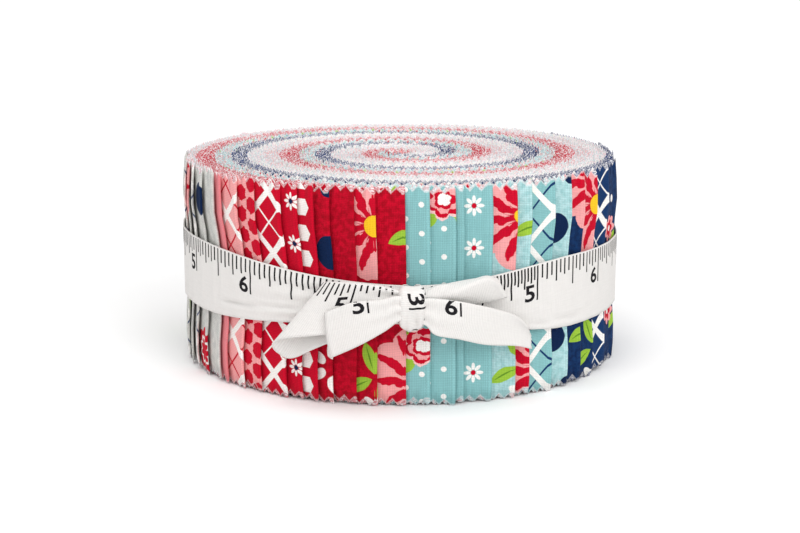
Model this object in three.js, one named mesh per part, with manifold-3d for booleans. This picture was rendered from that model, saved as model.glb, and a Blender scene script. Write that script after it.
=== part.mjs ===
// A roll of precut cotton strips, wound together and tied with a woven tape in a bow.
// Millimetres, +Z up. The origin is on the roll's axis, at its base. The bow faces -Y.
// Angles are in degrees round the axis, from the front (-Y) and positive towards +X.
import * as THREE from "three";
import { mergeVertices } from "three/addons/utils/BufferGeometryUtils.js";
import Module from "manifold-3d";

const wasm = await Module();
wasm.setup();

// The strips and the roll
const STRIP_WIDTH = 63.5; // from point to point across the two pinked edges: the roll's height
const ROLL_RADIUS = 69.7; // over the folded ends, where nothing squeezes them
const TURN_PITCH = 27.2; // how much the radius grows in one turn, by one layer of each strip
const HOLE_RADIUS = 3.6; // the small pit at the middle of the winding
const PIT_DEPTH = 9;
const FOLD_SWELL = 0.55; // how far a folded end stands out beyond its own cloth
const STEP_SLANT = 0.24; // degrees between the two edges of a step
const TOOTH_PITCH = 3.3;
const TOOTH_DEPTH = 1.5;
const RIM_CLOTH = 1.3; // depth of the teeth's roots, inwards from the wall
const TOP_DROP = 1.3; // the top between the teeth, below the rim's points
const LIFT_MAX = 0.9; // how much higher than the floor the highest strip lies

// Each row is the share of the circle that shows of one strip, from the left side round to the right
const FRONT_WIDTHS = [
  5.5, 5.1, 6.3, 6.4, 3.3, 6.4, 6.1, 8.0, 4.6, 4.4, 4.0, 6.0, 5.1,
  6.9, 5.8, 6.2, 2.1, 7.2, 6.7, 4.2, 7.5, 5.9, 5.8, 6.7, 7.6, 11.4,
];
const FRONT_START = -76.7;
const BACK_STRIPS = 16;
const BACK_UNEVENNESS = 1.6; // degrees

// The wall's outline: how far it stands out or draws in at each height
const WALL_ROWS = [
  { height: 0, out: -0.6 },
  { height: 8, out: 0 },
  { height: 19, out: -0.9 },
  { height: 42.5, out: -0.9 },
  { height: 53, out: 0 },
  { height: STRIP_WIDTH, out: -1.2 },
];

// The folded ends lean over to the left above the tape, on the front's left side
const LEAN = { angle: 1.7, centre: -50, reach: 55, foot: 42.5, upright: 51 };

// Furrows between the turns, on the top
const FURROW_STRIPS = 7; // strips from one furrow to the next
const FURROW_WIDTH = 1.3;
const FURROW_DEPTH = 1.1;
const FURROW_STEP = 15; // degrees
const FURROW_INNER_RADIUS = 7;
const FURROW_OUTER_RADIUS = 66; // clear of the rim's teeth

// The tape
const TAPE_WIDTH = 21.4;
const TAPE_THICKNESS = 0.9;
const GAP = 0.3; // between pieces that lie on each other
const BOW_RADIUS = 69.6; // the rows of the bow give distances out from this radius
const BAND = { middle: 30.4, tilt: 1.3, knotAngle: 2.7, knotWidth: 11, leftReach: 58, rightReach: 45 };
const BAND_COLUMNS = 84;

// Rows of the knot, from its foot up: height, left and right edges, and how far it stands out
const KNOT_BACK = 1;
const KNOT_ROUNDNESS = 0.55;
const KNOT_SIDES = 16;
const KNOT_ROWS = [
  { z: 23.6, left: 1.9, right: 4.6, out: 3.4 },
  { z: 25.0, left: 0.3, right: 6.1, out: 5.4 },
  { z: 27.4, left: -0.4, right: 6.8, out: 6.7 },
  { z: 30.4, left: -0.4, right: 7.0, out: 7.3 },
  { z: 33.2, left: -0.4, right: 7.0, out: 7.1 },
  { z: 35.3, left: -0.2, right: 6.8, out: 5.9 },
  { z: 36.5, left: 0.9, right: 5.6, out: 3.6 },
];

// Rows of each length of tape in the bow, from the knot on. Each row crosses the tape:
// [x, z, out] at its upper edge, at its middle and at its lower edge.
const LOOP_LEFT = [
  { upper: [-0.9, 35.4, 4.0], middle: [-0.9, 31.3, 4.4], lower: [-0.9, 27.2, 4.0] },
  { upper: [-7.0, 36.8, 4.4], middle: [-8.2, 30.6, 4.8], lower: [-9.0, 24.6, 4.5] },
  { upper: [-14.0, 37.2, 4.5], middle: [-16.8, 29.4, 4.9], lower: [-19.5, 22.2, 4.8] },
  { upper: [-19.2, 37.2, 4.1], middle: [-24.4, 28.2, 4.8], lower: [-29.0, 20.4, 5.0] },
  { upper: [-21.0, 36.9, 3.4], middle: [-28.0, 27.6, 4.2], lower: [-34.8, 19.0, 4.7] },
  { upper: [-21.5, 36.5, 2.5], middle: [-29.0, 26.9, 3.1], lower: [-36.6, 17.2, 3.6] },
  { upper: [-20.6, 36.1, 1.8], middle: [-28.0, 25.9, 2.1], lower: [-35.4, 14.9, 2.5] },
  { upper: [-17.0, 36.0, 1.6], middle: [-24.6, 25.4, 1.7], lower: [-31.4, 13.8, 2.0] },
  { upper: [-10.0, 35.8, 1.6], middle: [-17.0, 27.0, 1.6], lower: [-22.6, 18.6, 1.7] },
  { upper: [-0.9, 34.8, 1.6], middle: [-0.9, 31.0, 1.6], lower: [-0.9, 27.2, 1.6] },
];
const LOOP_RIGHT = [
  { upper: [7.5, 34.7, 1.8], middle: [7.5, 33.2, 3.2], lower: [7.5, 31.6, 1.9] },
  { upper: [11.0, 36.1, 1.8], middle: [11.6, 33.0, 3.5], lower: [12.2, 30.9, 1.9] },
  { upper: [15.4, 36.5, 1.8], middle: [16.0, 34.2, 4.1], lower: [17.0, 30.5, 2.0] },
  { upper: [20.2, 37.5, 1.8], middle: [20.6, 35.9, 4.2], lower: [22.0, 30.4, 2.1] },
  { upper: [24.4, 38.3, 1.9], middle: [25.2, 36.6, 3.6], lower: [26.6, 30.9, 2.2] },
  { upper: [27.2, 37.2, 1.9], middle: [28.4, 35.0, 2.9], lower: [29.8, 31.6, 2.1] },
];
const TAIL_LEFT = [
  { upper: [-0.9, 34.2, 6.2], middle: [-0.9, 30.5, 6.6], lower: [-0.9, 26.8, 6.2] },
  { upper: [-5.5, 33.9, 6.6], middle: [-5.2, 29.0, 6.8], lower: [-4.6, 24.1, 6.5] },
  { upper: [-13.1, 32.0, 6.9], middle: [-12.4, 26.3, 7.0], lower: [-11.4, 20.0, 6.6] },
  { upper: [-21.3, 28.5, 6.5], middle: [-20.8, 22.0, 6.7], lower: [-19.6, 15.7, 6.1] },
];
const TAIL_RIGHT = [
  { upper: [7.5, 33.0, 5.2], middle: [7.5, 29.3, 5.4], lower: [7.5, 25.4, 5.1] },
  { upper: [11.2, 32.8, 5.6], middle: [11.0, 27.6, 5.6], lower: [10.0, 22.7, 5.2] },
  { upper: [17.7, 31.6, 5.8], middle: [17.8, 26.2, 5.9], lower: [16.6, 21.2, 5.3] },
  { upper: [25.5, 29.2, 5.0], middle: [25.2, 23.8, 5.0], lower: [24.4, 18.8, 4.6] },
  { upper: [33.2, 26.8, 3.6], middle: [33.4, 22.0, 3.4], lower: [33.3, 17.4, 3.4] },
  { upper: [37.4, 24.2, 2.8], middle: [38.0, 20.0, 2.5], lower: [38.0, 15.6, 2.6] },
];
const ACROSS_STEPS = 4;
const ALONG_STEPS = 3; // faces between two rows of a length of tape

const COLOURS = { cloth: 0xb9475a, tape: 0xf0eee9 };

const radians = THREE.MathUtils.degToRad;
const smooth = THREE.MathUtils.smoothstep;

// A point at an angle round the axis, a distance from it, and a height
function around(angle, radius, height) {
  return new THREE.Vector3(radius * Math.sin(radians(angle)), -radius * Math.cos(radians(angle)), height);
}

// A closed solid from points and faces; a face is a list of point numbers, seen from outside
function solid(points, faces) {
  const geometry = new THREE.BufferGeometry();
  const triangles = faces.flatMap((face) => face.slice(2).flatMap((last, n) => [face[0], face[n + 1], last]));
  geometry.setAttribute("position", new THREE.Float32BufferAttribute(points.flatMap((p) => p.toArray()), 3));
  geometry.setIndex(triangles);
  geometry.computeVertexNormals();
  return geometry;
}

// Faces that close a ring: a fan from its middle point, which is added to the points
function fanCap(points, start, sides) {
  const ring = points.slice(start, start + sides);
  const middle = ring.reduce((sum, point) => sum.add(point), new THREE.Vector3()).divideScalar(sides);
  points.push(middle);
  return ring.map((_, side) => [points.length - 1, start + side, start + ((side + 1) % sides)]);
}

// Faces that close the section of a sheet: rungs from one side of it to the other
function ladderCap(points, start, sides) {
  return Array.from({ length: sides / 2 - 1 }, (_, rung) =>
    [rung, rung + 1, sides - 2 - rung, sides - 1 - rung].map((side) => start + side));
}

// A closed solid through rings of as many points each, counter-clockwise seen from the last ring.
// With no cap, the last ring joins the first.
function loft(rings, cap = null) {
  const sides = rings[0].length;
  const points = rings.flat();
  const faces = [];
  const count = cap ? rings.length - 1 : rings.length;
  for (let row = 0; row < count; row += 1) {
    const next = (row + 1) % rings.length;
    for (let side = 0; side < sides; side += 1) {
      const after = (side + 1) % sides;
      faces.push([row * sides + side, row * sides + after, next * sides + after, next * sides + side]);
    }
  }
  if (cap) {
    faces.push(...cap(points, 0, sides).map((face) => face.reverse()));
    faces.push(...cap(points, (rings.length - 1) * sides, sides));
  }
  return solid(points, faces);
}

function toManifold(geometry) {
  const bare = geometry.clone();
  bare.deleteAttribute("normal");
  bare.deleteAttribute("uv");
  const merged = mergeVertices(bare, 1e-5);
  return new wasm.Manifold(
    new wasm.Mesh({
      numProp: 3,
      vertProperties: new Float32Array(merged.attributes.position.array),
      triVerts: new Uint32Array(merged.index.array),
    }),
  );
}

function fromManifold(manifold) {
  const mesh = manifold.getMesh();
  const geometry = new THREE.BufferGeometry();
  geometry.setAttribute("position", new THREE.BufferAttribute(mesh.vertProperties, 3));
  geometry.setIndex(new THREE.BufferAttribute(mesh.triVerts, 1));
  geometry.computeVertexNormals();
  return geometry;
}

// The strips, in the order in which their folded ends lie round the roll
function makeStrips() {
  const frontTotal = FRONT_WIDTHS.reduce((sum, width) => sum + width, 0);
  const backWidth = (360 - frontTotal) / BACK_STRIPS;
  const widths = [...FRONT_WIDTHS];
  for (let n = 0; n < BACK_STRIPS; n += 1) {
    widths.push(backWidth + BACK_UNEVENNESS * Math.sin((2 * Math.PI * 5 * (n + 0.5)) / BACK_STRIPS));
  }
  let start = FRONT_START;
  return widths.map((width, order) => {
    const strip = { start, width, lift: (LIFT_MAX * (1 + Math.sin(order * 2.4))) / 2 };
    start += width;
    return strip;
  });
}

const STRIPS = makeStrips();
const LAYER = TURN_PITCH / STRIPS.length;

// How many strips have ended before an angle, which may be some turns back
function stripsPassed(angle) {
  const turns = Math.floor((angle - FRONT_START) / 360);
  const rest = angle - 360 * turns;
  const order = STRIPS.findLastIndex((strip) => strip.start <= rest);
  return turns * STRIPS.length + order + (rest - STRIPS[order].start) / STRIPS[order].width;
}

function wallOut(height) {
  const upper = WALL_ROWS.findIndex((row) => row.height >= height);
  const [low, high] = [WALL_ROWS[Math.max(upper - 1, 0)], WALL_ROWS[upper]];
  const share = high.height > low.height ? (height - low.height) / (high.height - low.height) : 0;
  return low.out + share * (high.out - low.out);
}

function lean(angle, height) {
  const off = (((angle - LEAN.centre + 540) % 360) - 180) / LEAN.reach;
  const strength = Math.abs(off) < 1 ? (1 + Math.cos(Math.PI * off)) / 2 : 0;
  const rise = (level) => Math.max(0, (level - LEAN.foot) / (STRIP_WIDTH - LEAN.foot));
  return -LEAN.angle * strength * (rise(height) - rise(LEAN.upright));
}

// One column for each point and notch of the teeth, and one at each edge of a step
function wallColumns() {
  return STRIPS.flatMap((strip) => {
    const teeth = Math.max(1, Math.round((radians(strip.width) * ROLL_RADIUS) / TOOTH_PITCH));
    const columns = [];
    for (let half = 0; half <= 2 * teeth; half += 1) {
      const share = half / (2 * teeth);
      columns.push({
        angle: strip.start + STEP_SLANT / 2 + share * (strip.width - STEP_SLANT),
        radius: ROLL_RADIUS - (LAYER + FOLD_SWELL) + LAYER * share + FOLD_SWELL * share ** 3,
        notch: half % 2 === 0 ? TOOTH_DEPTH : 0,
        lift: strip.lift,
      });
    }
    return columns;
  });
}

function rollBody() {
  const columns = wallColumns();
  const ringAt = (place) => columns.map(place);
  const wallPoint = (column, height, inwards = 0, level = height) => {
    const radius = column.radius + wallOut(level) - inwards;
    return around(column.angle + lean(column.angle, level), radius, height);
  };
  const topLevel = STRIP_WIDTH - TOP_DROP;
  return loft([
    ringAt((column) => wallPoint(column, 0, RIM_CLOTH)),
    ringAt((column) => wallPoint(column, column.lift + column.notch, 0, 0)),
    ...WALL_ROWS.slice(1, -1).map((row) => ringAt((column) => wallPoint(column, row.height))),
    ringAt((column) => wallPoint(column, STRIP_WIDTH + column.lift - column.notch, 0, STRIP_WIDTH)),
    ringAt((column) => wallPoint(column, topLevel, RIM_CLOTH)),
  ], fanCap);
}

// A V-shaped cutter along the spiral of one strip, from inside the rim to the middle of the winding
function furrow(stripOrder) {
  const last = stripOrder + 1;
  const end = STRIPS[stripOrder].start + STRIPS[stripOrder].width;
  const top = STRIP_WIDTH - TOP_DROP;
  const sections = [];
  for (let angle = end; ; angle -= FURROW_STEP) {
    const radius = ROLL_RADIUS - LAYER * (last - stripsPassed(angle));
    if (radius < FURROW_INNER_RADIUS) return loft(sections.reverse(), fanCap);
    if (radius < FURROW_OUTER_RADIUS) {
      sections.push([
        around(angle, radius - FURROW_WIDTH, top + FURROW_DEPTH),
        around(angle, radius + FURROW_WIDTH, top + FURROW_DEPTH),
        around(angle, radius, top - FURROW_DEPTH),
      ]);
    }
  }
}

function makeRoll() {
  let roll = toManifold(rollBody());
  for (let order = 0; order < STRIPS.length; order += FURROW_STRIPS) {
    roll = roll.subtract(toManifold(furrow(order)));
  }
  const pit = new THREE.CylinderGeometry(HOLE_RADIUS, HOLE_RADIUS * 0.7, 2 * PIT_DEPTH, 14);
  pit.rotateX(Math.PI / 2).translate(0, 0, STRIP_WIDTH);
  return fromManifold(roll.subtract(toManifold(pit)));
}

// The tape round the roll: level at the back, tilted a little, and gathered at the knot
function makeBand() {
  const inner = ROLL_RADIUS + wallOut(WALL_ROWS[2].height) + GAP;
  const sections = [];
  for (let n = 0; n < BAND_COLUMNS; n += 1) {
    const angle = BAND.knotAngle + (360 * n) / BAND_COLUMNS - 180;
    const off = angle - BAND.knotAngle;
    const reach = off < 0 ? BAND.leftReach : BAND.rightReach;
    const gathered = 1 - smooth(Math.abs(off), 0, reach);
    const half = (TAPE_WIDTH - (TAPE_WIDTH - BAND.knotWidth) * gathered) / 2;
    const middle = BAND.middle - BAND.tilt * Math.sin(radians(angle));
    sections.push([
      around(angle, inner, middle - half),
      around(angle, inner, middle + half),
      around(angle, inner + TAPE_THICKNESS, middle + half),
      around(angle, inner + TAPE_THICKNESS, middle - half),
    ]);
  }
  return loft(sections);
}

// A place in the bow: sideways, up, and out from the roll's wall
function bowPoint([x, z, out]) {
  const radius = BOW_RADIUS + out;
  return new THREE.Vector3(x, -Math.sqrt(radius * radius - x * x), z);
}

function makeKnot() {
  const soften = (value) => Math.sign(value) * Math.abs(value) ** KNOT_ROUNDNESS;
  return loft(
    KNOT_ROWS.map((row) =>
      Array.from({ length: KNOT_SIDES }, (_, side) => {
        const turn = (2 * Math.PI * (side + 0.5)) / KNOT_SIDES;
        const x = (row.left + row.right) / 2 + ((row.right - row.left) / 2) * soften(Math.cos(turn));
        const out = (KNOT_BACK + row.out) / 2 - ((row.out - KNOT_BACK) / 2) * soften(Math.sin(turn));
        return bowPoint([x, row.z, out]);
      }),
    ),
    fanCap,
  );
}

// A length of tape through its rows: a sheet with a thickness, smooth along and across
function makeTape(rows) {
  const edges = ["upper", "middle", "lower"].map(
    (edge) => new THREE.CatmullRomCurve3(rows.map((row) => bowPoint(row[edge])), false, "centripetal"),
  );
  const along = (rows.length - 1) * ALONG_STEPS;
  const grid = Array.from({ length: along + 1 }, (_, step) => {
    const [upper, middle, lower] = edges.map((edge) => edge.getPoint(step / along));
    const control = middle.clone().multiplyScalar(2).sub(upper.clone().add(lower).multiplyScalar(0.5));
    const crossing = new THREE.QuadraticBezierCurve3(upper, control, lower);
    return Array.from({ length: ACROSS_STEPS + 1 }, (_, across) => crossing.getPoint(across / ACROSS_STEPS));
  });
  const normalAt = (step, across) => {
    const ahead = grid[Math.min(step + 1, along)][across].clone().sub(grid[Math.max(step - 1, 0)][across]);
    const down = grid[step][Math.min(across + 1, ACROSS_STEPS)].clone();
    down.sub(grid[step][Math.max(across - 1, 0)]);
    return ahead.cross(down).normalize();
  };
  const sections = grid.map((row, step) => {
    const side = (sign) => row.map((point, across) =>
      point.clone().addScaledVector(normalAt(step, across), (sign * TAPE_THICKNESS) / 2));
    return [...side(-1), ...side(1).reverse()];
  });
  return loft(sections, ladderCap);
}

function piece(name, geometry, colour, roughness) {
  const material = new THREE.MeshStandardMaterial({ color: colour, roughness, metalness: 0 });
  const mesh = new THREE.Mesh(geometry, material);
  mesh.name = name;
  return mesh;
}

const group = new THREE.Group();
group.add(piece("roll", makeRoll(), COLOURS.cloth, 0.9));
const tie = new THREE.Group();
tie.add(
  piece("tie_band", makeBand(), COLOURS.tape, 0.8),
  piece("tie_knot", makeKnot(), COLOURS.tape, 0.8),
  piece("loop_left", makeTape(LOOP_LEFT), COLOURS.tape, 0.8),
  piece("loop_right", makeTape(LOOP_RIGHT), COLOURS.tape, 0.8),
  piece("tail_left", makeTape(TAIL_LEFT), COLOURS.tape, 0.8),
  piece("tail_right", makeTape(TAIL_RIGHT), COLOURS.tape, 0.8),
);
group.add(tie);

export default group;
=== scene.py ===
"""A roll of precut cotton strips, wound together and tied with a printed tape in a bow.

Each strip is a sheet of printed cotton, folded in half and wound with the others, and the tape is a ribbed
sheet with measuring marks. Lengths in the tables and functions are millimetres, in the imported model's frame:
the roll stands on z = 0 about the origin, and the bow faces -Y. Angles are degrees round the axis, from the
front and positive towards +X. Meshes are made in metres.
"""

import math
from functools import partial

import bmesh
import bpy
import numpy as np
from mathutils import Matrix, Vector


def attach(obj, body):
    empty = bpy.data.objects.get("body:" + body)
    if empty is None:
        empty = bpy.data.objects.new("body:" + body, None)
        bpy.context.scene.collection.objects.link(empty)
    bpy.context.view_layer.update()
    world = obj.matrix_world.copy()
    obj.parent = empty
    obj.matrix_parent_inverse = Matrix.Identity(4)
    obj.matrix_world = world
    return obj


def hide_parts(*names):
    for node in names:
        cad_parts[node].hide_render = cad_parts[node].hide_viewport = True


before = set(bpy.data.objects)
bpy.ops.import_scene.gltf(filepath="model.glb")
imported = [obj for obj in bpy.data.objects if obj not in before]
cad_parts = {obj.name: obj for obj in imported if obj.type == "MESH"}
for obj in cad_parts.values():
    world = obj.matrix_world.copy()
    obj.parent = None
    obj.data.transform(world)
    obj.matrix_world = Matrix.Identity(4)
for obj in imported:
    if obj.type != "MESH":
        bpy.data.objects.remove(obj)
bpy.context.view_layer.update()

MM = 0.001

# The roll, as the model has it
STRIP_WIDTH = 63.5
ROLL_RADIUS = 69.7
TURN_PITCH = 26.6  # how far a strip is wound inwards in one turn
FOLD_SWELL = 1.05  # how far a fold stands out from the wound cloth
LIFT_MAX = 0.9  # how much higher one strip may stand than another
LIFT_STEP = 2.4  # how far the lift's wave goes from one strip to the next, in radians
FRONT_WIDTHS = [
    5.5, 5.1, 6.3, 6.4, 3.3, 6.4, 6.1, 8, 4.6, 4.4, 4, 6, 5.1,
    6.9, 5.8, 6.2, 2.1, 7.2, 6.7, 4.2, 7.5, 5.9, 5.8, 6.7, 7.6, 11.4,
]
FRONT_START = -76.7
BACK_STRIPS = 16
BACK_UNEVENNESS = 1.6
BACK_WAVES = 5
WALL_HEIGHTS = [-2, 0, 8, 19, 42.5, 53, STRIP_WIDTH, STRIP_WIDTH + 2]
WALL_OUTS = [-0.6, -0.6, 0, -0.9, -0.9, 0, -1.2, -1.2]
WALL_STEP = 0.5
WALL_BLUR = 13  # steps over which the outline's corners are rounded
# How far the tape draws the strips' folds to the right, by the angle, and the share of it by the height
PULL_ANGLES = [-88, -65, -50, -40, -30, -20, -10, 0, 15, 25, 35, 45, 55, 62, 75, 90]
PULLS = [0, 3.2, 3.2, 2.8, 2.2, 1.3, 0.7, 0.4, 0.3, 0, -0.5, -0.9, -1.2, -2.3, -2, 0]
PULL_HEIGHTS = [0, 10, 20, 42, 50, 62]
PULL_SHARES = [0.9, 0.65, 0.88, 1, 0.3, -0.2]

# One strip
FOLD_LENGTH = 559  # of a flat strip, from its fold to its cut ends
HALF_TEETH = 339  # along that length
HALF_TOOTH = FOLD_LENGTH / HALF_TEETH
TOOTH_DEPTH = 1.7
FIRST_TOOTH = (0.15, 0.85)  # where the first half tooth may end, as a share of its length
CLOTH = 0.25  # thickness of one layer
LEAF_OFFSET = 0.165  # from the middle of the folded strip to the middle of each layer
FOLD_REACH = 2.4  # how far back from the fold its two layers part
FOLD_RISE = 0.75  # share of the swell by which the inner layer lifts off the next strip
FOLD_GAP = 0.45  # from one strip's fold to the next strip's start, in degrees
FOLD_VARIATION = (0.8, 1.15)  # shares of the swell
INNER_RADIUS = 3.9
PATH_STEP = 0.5  # between the places worked out along a strip, in degrees
PATH_REACH = 1200  # more degrees than a strip is wound
DEEP_ROWS = 92  # distance from the fold over which a strip follows the wall's outline
FINE_REACH = 6
FINE_PARTS = 3
BEND_STEPS = 7
BEND_CLOTH = 0.5  # cloth in the fold's bend for each radian of it
SQUEEZE_DEPTH = 6  # how far in from the wall the outline is felt
ROW_HEIGHTS = [5, 11, 18, 25, 32, 39, 45, 51, 57.5]
STRIP_SEED = 100

# The tape
TAPE_WIDTH = 21.4
TAPE_CLOTH = 0.36
BOW_RADIUS = 69.6  # from which the bow's places stand out
BAND_MIDDLE, BAND_TILT, KNOT_ANGLE, KNOT_WIDTH = 30.4, 1.3, 2.7, 11
LEFT_REACH, RIGHT_REACH = 66, 45  # degrees from the knot over which the band is gathered
BAND_ROWS = 23
BAND_INSET = 0.42  # how far inside the folds' reach the band lies
BAND_SAG = 0.16  # how far it sinks between two folds
BAND_RISE = 0.25  # how far it stands out where it is gathered
BAND_PLEAT, BAND_PLEATS, BAND_PLEATS_START = 0.45, 3.5, 0.6
BAND_ANGLES = KNOT_ANGLE + np.linspace(0.6, 359.4, 540)
# The band's creases: start and end in degrees, height at the start, its rise a degree, and depth
CREASES = [(-52, -24, 25.4, 0.085, 0.8), (30, 52, 21.4, 0.02, 0.6)]
CREASE_FADE = (4, 6)  # degrees before and after each end over which it fades
CREASE_WIDTH = 0.55
RIDGE_BELOW, RIDGE_WIDTH = 1.4, 1.2

# The camera: the photograph's distance, height and lens
CAMERA_DISTANCE = 534.6
CAMERA_ELEVATION = 12.35
CAMERA_AIM = 26.2
FOCAL_PIXELS = 1648.3
FRAME_WIDTH = 800
SENSOR = 36


# Places


def smooth(low, high, value):
    share = np.clip((value - low) / (high - low), 0, 1)
    return share * share * (3 - 2 * share)


def strip_starts():
    back = (360 - sum(FRONT_WIDTHS)) / BACK_STRIPS
    wave = [math.sin(2 * math.pi * BACK_WAVES * (n + 0.5) / BACK_STRIPS) for n in range(BACK_STRIPS)]
    widths = FRONT_WIDTHS + [back + BACK_UNEVENNESS * w for w in wave]
    return FRONT_START + np.concatenate([[0], np.cumsum(widths)])


STARTS = strip_starts()
STRIPS = len(STARTS) - 1
LAYER = TURN_PITCH / STRIPS


def strips_passed(angle):
    """How many strips have ended before an angle, which may be some turns back."""
    turns = np.floor((angle - FRONT_START) / 360)
    return turns * STRIPS + np.interp(angle - 360 * turns, STARTS, np.arange(STRIPS + 1))


def lift(order):
    return LIFT_MAX * (1 + math.sin(order * LIFT_STEP)) / 2


def wall_table():
    """The wall's outline: how far it stands out at each height, with its corners rounded."""
    heights = np.arange(WALL_HEIGHTS[0], WALL_HEIGHTS[-1] + WALL_STEP / 2, WALL_STEP)
    outs = np.interp(heights, WALL_HEIGHTS, WALL_OUTS)
    padded = np.pad(outs, WALL_BLUR // 2, mode="edge")
    return heights, np.convolve(padded, np.ones(WALL_BLUR) / WALL_BLUR, mode="valid")


WALL = wall_table()


def shaped(points):
    """The wound cloth pressed into the roll's outline: drawn in at the rims and the tape, and to a side."""
    x, y, z = points.T
    radius = np.hypot(x, y)
    angle = np.degrees(np.arctan2(x, -y))
    depth = np.clip((radius - (ROLL_RADIUS - SQUEEZE_DEPTH)) / SQUEEZE_DEPTH, 0, 1.2)
    radius = radius + depth * np.interp(z, *WALL)
    pull = np.interp(angle, PULL_ANGLES, PULLS) * np.interp(z, PULL_HEIGHTS, PULL_SHARES)
    turned = np.radians(angle) + np.clip(depth, 0, 1) * pull / ROLL_RADIUS
    return np.stack([radius * np.sin(turned), -radius * np.cos(turned), z], axis=1)


def between(value, places, rows):
    """A table's row at a value, where places are its rows' own values."""
    return np.array([np.interp(value, places, column) for column in rows.T])


# Meshes


def new_object(name, data):
    thing = bpy.data.objects.new(name, data)
    bpy.context.scene.collection.objects.link(thing)
    return thing


def make_mesh(name, points, faces, materials, which, uvs, shift=(0, 0)):
    """A mesh in metres from points in millimetres.

    which gives each face's material. uvs gives each point's place along the cloth, its height for the map
    "cloth", where the cut edges are straight, and its height for the map "print", where they are as cut. The
    shift makes the last one the place in the printed repeat.
    """
    mesh = bpy.data.meshes.new(name)
    mesh.from_pydata((points * MM).tolist(), [], faces)
    for material in materials:
        mesh.materials.append(material)
    mesh.polygons.foreach_set("material_index", np.asarray(which, np.int32))
    corners = np.empty(len(mesh.loops), np.int32)
    mesh.loops.foreach_get("vertex_index", corners)
    for map_name, places in (("cloth", uvs[:, :2]), ("print", uvs[:, ::2] + shift)):
        layer = mesh.uv_layers.new(name=map_name)
        layer.data.foreach_set("uv", places[corners].astype(np.float32).ravel())
    mesh.polygons.foreach_set("use_smooth", np.ones(len(mesh.polygons), bool))
    mesh.update()
    return new_object(name, mesh)


class Sheet:
    """A closed thin sheet made column by column: a face side, a back side and the cut edges between them."""

    def __init__(self):
        self.points, self.uvs, self.faces, self.which, self.columns = [], [], [], [], []

    def column(self, face, back, uv):
        """Adds points of the face and the back, from the lower edge to the upper one."""
        start = len(self.points)
        self.points.extend(face)
        self.points.extend(back)
        self.uvs.extend(uv)
        self.uvs.extend(uv)
        count = len(face)
        self.columns.append((range(start, start + count), range(start + count, start + 2 * count)))

    def add(self, face, side):
        self.faces.append(face)
        self.which.append(side)

    def join(self):
        for (face_a, back_a), (face_b, back_b) in zip(self.columns, self.columns[1:]):
            if len(face_a) == len(face_b):
                for row in range(len(face_a) - 1):
                    self.add((face_a[row], face_b[row], face_b[row + 1], face_a[row + 1]), 0)
                    self.add((back_a[row], back_a[row + 1], back_b[row + 1], back_b[row]), 2)
            else:
                self.add((*face_a, *reversed(face_b))[::-1], 0)
                self.add((*back_a, *reversed(back_b)), 2)
            self.add((face_a[0], back_a[0], back_b[0], face_b[0]), 1)
            self.add((face_a[-1], face_b[-1], back_b[-1], back_a[-1]), 1)
        for (face, back), flip in ((self.columns[0], 1), (self.columns[-1], -1)):
            for row in range(len(face) - 1):
                self.add((face[row], face[row + 1], back[row + 1], back[row])[::flip], 1)

    def build(self, name, materials, shift=(0, 0), place=lambda points: points):
        self.join()
        points = place(np.array(self.points, float))
        return make_mesh(name, points, self.faces, materials, self.which, np.array(self.uvs, float), shift)


# The strips


def strip_path(order):
    """Distance from the fold, place, outward direction and squeeze along a strip, from its fold inwards."""
    end = STARTS[order + 1] - FOLD_GAP
    angles = np.arange(end, end - PATH_REACH, -PATH_STEP)
    first = ROLL_RADIUS - FOLD_SWELL - LEAF_OFFSET - CLOTH / 2
    radii = first - LAYER * (order + 1 - strips_passed(angles))
    kept = radii > INNER_RADIUS
    angles, radii = np.radians(angles[kept]), radii[kept]
    places = np.stack([radii * np.sin(angles), -radii * np.cos(angles)], axis=1)
    steps = np.hypot(*np.diff(places, axis=0).T)
    along = np.concatenate([[0], np.cumsum(steps)])
    ahead = -np.gradient(places, axis=0)
    ahead /= np.hypot(*ahead.T)[:, None]
    outward = np.stack([ahead[:, 1], -ahead[:, 0]], axis=1)
    radial = places / radii[:, None]
    squeeze = np.sum(outward * radial, axis=1)
    return along, places, outward, squeeze


def strip_distances(length, share):
    """Distances from the fold of one layer's columns: half teeth all along, and finer ones near the fold."""
    teeth = [(n + share) * HALF_TOOTH for n in range(int(length / HALF_TOOTH))]
    fine = []
    for a, b in zip(teeth, teeth[1:]):
        if a < FINE_REACH:
            fine += [a + (b - a) * k / FINE_PARTS for k in range(1, FINE_PARTS)]
    return np.array(sorted(teeth + fine))


def tooth(distance, share, parity):
    """How deep the pinked edge is cut in at a distance from the fold."""
    phase = (distance / HALF_TOOTH - share + parity) % 2
    return TOOTH_DEPTH * (phase if phase < 1 else 2 - phase)


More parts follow.
